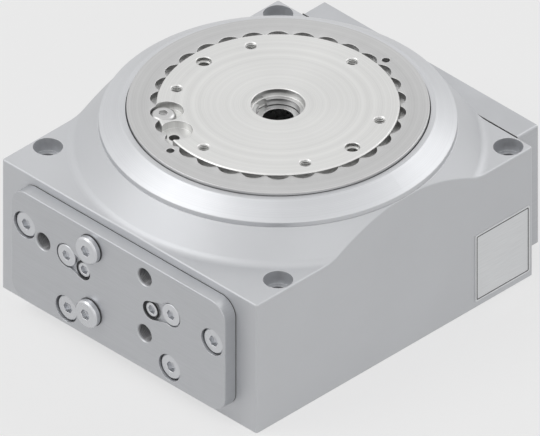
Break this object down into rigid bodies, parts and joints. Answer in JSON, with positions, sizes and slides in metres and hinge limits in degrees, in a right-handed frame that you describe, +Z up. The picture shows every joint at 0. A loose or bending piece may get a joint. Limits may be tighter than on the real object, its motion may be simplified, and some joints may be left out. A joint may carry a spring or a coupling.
{
  "type": "rotary indexing table",
  "caption": "Square pneumatic rotary indexing table with a flat turning plate, scalloped ring nut and bevelled collar, driven inside by two rack pistons.",
  "frame": {"origin": "on the table's axis, in the plane that the casing stands on, at the centre of the four base bolts", "axes": "+Z up along the table's axis, -Y out of the face with the air ports, +X out of the face with the nameplate"},
  "size_m": [0.1665, 0.205, 0.096],
  "materials": {
    "casing_aluminium": "natural anodised over a fine bead blast",
    "plate_aluminium": "milled flat, natural anodised",
    "table_steel": "face turned, fine concentric marks",
    "hard_steel": "hardened and ground",
    "ball_steel": "polished",
    "zinc_steel": "bright zinc plated",
    "spring_steel": "drawn wire",
    "bronze": "turned",
    "black_rubber": "moulded, matte",
    "gasket_fibre": "flat sheet",
    "nameplate_foil": "satin foil, bare"
  },
  "bodies": {
    "casing": {"housing": "casing_aluminium", "cover_ring": "casing_aluminium", "base_cover": "plate_aluminium", "base_cover_screws": "zinc_steel", "base_gasket": "gasket_fibre", "centre_post": "hard_steel", "centre_post_screws": "zinc_steel", "thrust_washer": "bronze", "outer_race": "hard_steel", "wiper_seal": "black_rubber", "front_plate": "plate_aluminium", "front_gasket": "gasket_fibre", "front_plate_screws": "zinc_steel", "port_plugs": "zinc_steel", "flush_plugs": "zinc_steel", "back_plate": "plate_aluminium", "back_gasket": "gasket_fibre", "back_plate_screws": "zinc_steel", "channel_balls": "ball_steel", "nameplate": "nameplate_foil", "lock_cylinder_cap": "zinc_steel", "lock_spring": "spring_steel", "absorber_body": "zinc_steel", "absorber_spring": "spring_steel"},
    "table": {"rotary_plate": "table_steel", "ring_nut": "table_steel", "ring_lock_screw": "zinc_steel", "centre_ring": "table_steel", "inner_race": "hard_steel", "index_disc": "hard_steel", "index_disc_screws": "zinc_steel", "index_dowels": "hard_steel"},
    "cage": {"bearing_balls": "ball_steel", "ball_cage": "bronze"},
    "drive": {"drive_pinion": "hard_steel", "pinion_bush": "bronze", "stop_pin": "hard_steel", "pawl_carrier": "plate_aluminium", "carrier_screws": "zinc_steel", "pawl_springs": "spring_steel"},
    "pawls": {"drive_pawls": "hard_steel"},
    "left_rack": {"rack_piston_left": "hard_steel", "piston_seals_left": "black_rubber"},
    "right_rack": {"rack_piston_right": "hard_steel", "piston_seals_right": "black_rubber"},
    "lock": {"lock_bolt": "hard_steel", "lock_bolt_seal": "black_rubber"},
    "absorber": {"absorber_rod": "hard_steel"},
    "left_throttle": {"throttle_screw_left": "zinc_steel"},
    "right_throttle": {"throttle_screw_right": "zinc_steel"}
  },
  "joints": [
    {"name": "table_turn", "type": "hinge", "parent": "casing", "child": "table", "pos_m": [0, 0, 0.08], "axis": [0, 0, 1], "continuous": true},
    {"name": "cage_turn", "type": "hinge", "parent": "casing", "child": "cage", "pos_m": [0, 0, 0.0765], "axis": [0, 0, 1], "continuous": true},
    {"name": "drive_turn", "type": "hinge", "parent": "casing", "child": "drive", "pos_m": [0, 0, 0.0314], "axis": [0, 0, 1], "range_deg": [0, 60]},
    {"name": "left_rack_slide", "type": "slide", "parent": "casing", "child": "left_rack", "axis": [0, -1, 0], "range_m": [0, 0.0398]},
    {"name": "right_rack_slide", "type": "slide", "parent": "casing", "child": "right_rack", "axis": [0, 1, 0], "range_m": [0, 0.0398]},
    {"name": "pawl_lift", "type": "slide", "parent": "drive", "child": "pawls", "axis": [0, 0, 1], "range_m": [0, 0.004], "deforming": ["pawl_springs"]},
    {"name": "lock_lift", "type": "slide", "parent": "casing", "child": "lock", "axis": [0, 0, 1], "range_m": [0, 0.0045], "deforming": ["lock_spring"]},
    {"name": "absorber_stroke", "type": "slide", "parent": "casing", "child": "absorber", "axis": [0, 1, 0], "range_m": [0, 0.008], "stiffness_N_per_m": 200, "springref_m": -0.004, "deforming": ["absorber_spring"]},
    {"name": "left_throttle_turn", "type": "hinge", "parent": "casing", "child": "left_throttle", "pos_m": [-0.023, -0.1, 0.0426], "axis": [0, -1, 0], "range_deg": [0, 720]},
    {"name": "right_throttle_turn", "type": "hinge", "parent": "casing", "child": "right_throttle", "pos_m": [0.021, -0.1, 0.0422], "axis": [0, -1, 0], "range_deg": [0, 720]}
  ],
  "couplings": [
    {"joint": "cage_turn", "follows": "table_turn", "ratio": 0.48},
    {"joint": "left_rack_slide", "follows": "drive_turn", "m_per_rad": 0.038},
    {"joint": "right_rack_slide", "follows": "drive_turn", "m_per_rad": 0.038}
  ]
}
